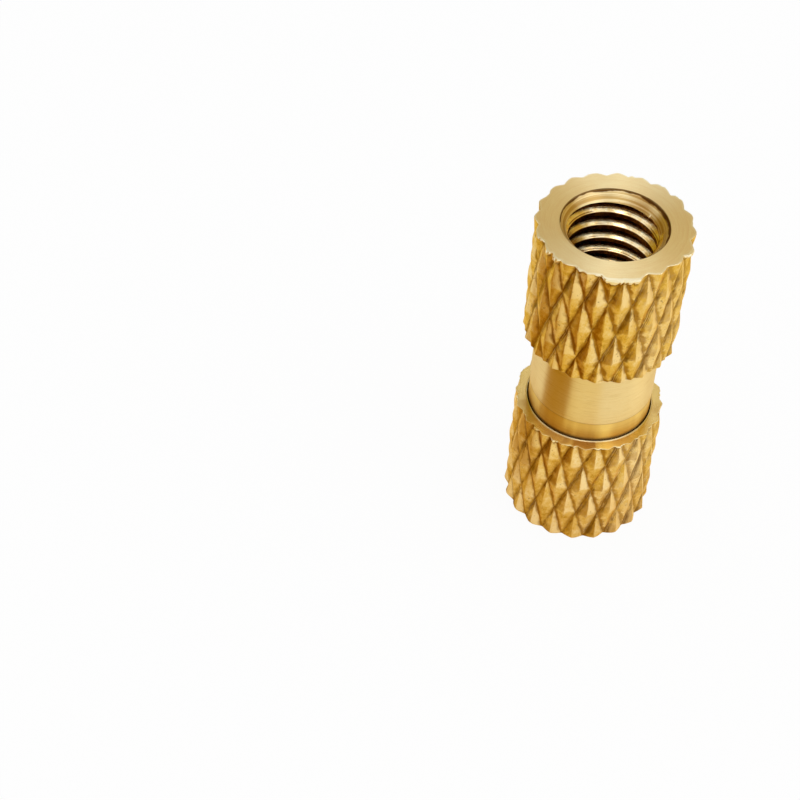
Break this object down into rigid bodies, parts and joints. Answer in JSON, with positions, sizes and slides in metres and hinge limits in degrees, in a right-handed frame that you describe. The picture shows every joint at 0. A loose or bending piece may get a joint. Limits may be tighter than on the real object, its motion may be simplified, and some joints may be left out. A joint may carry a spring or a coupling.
{
  "type": "threaded insert",
  "caption": "Through-threaded brass insert with diamond-knurled bands either side of a plain turned neck, for moulding or pressing into a plastic part.",
  "frame": {"origin": "centre of the lower end face", "axes": "+Z along the threaded hole, from the lower end face to the upper; the knurl has a groove crossing on +X at the lower face"},
  "size_m": [0.0074, 0.0074, 0.018],
  "materials": {
    "brass": "satin, as turned and knurled"
  },
  "bodies": {
    "root": {"insert_body": "brass"}
  },
  "joints": []
}
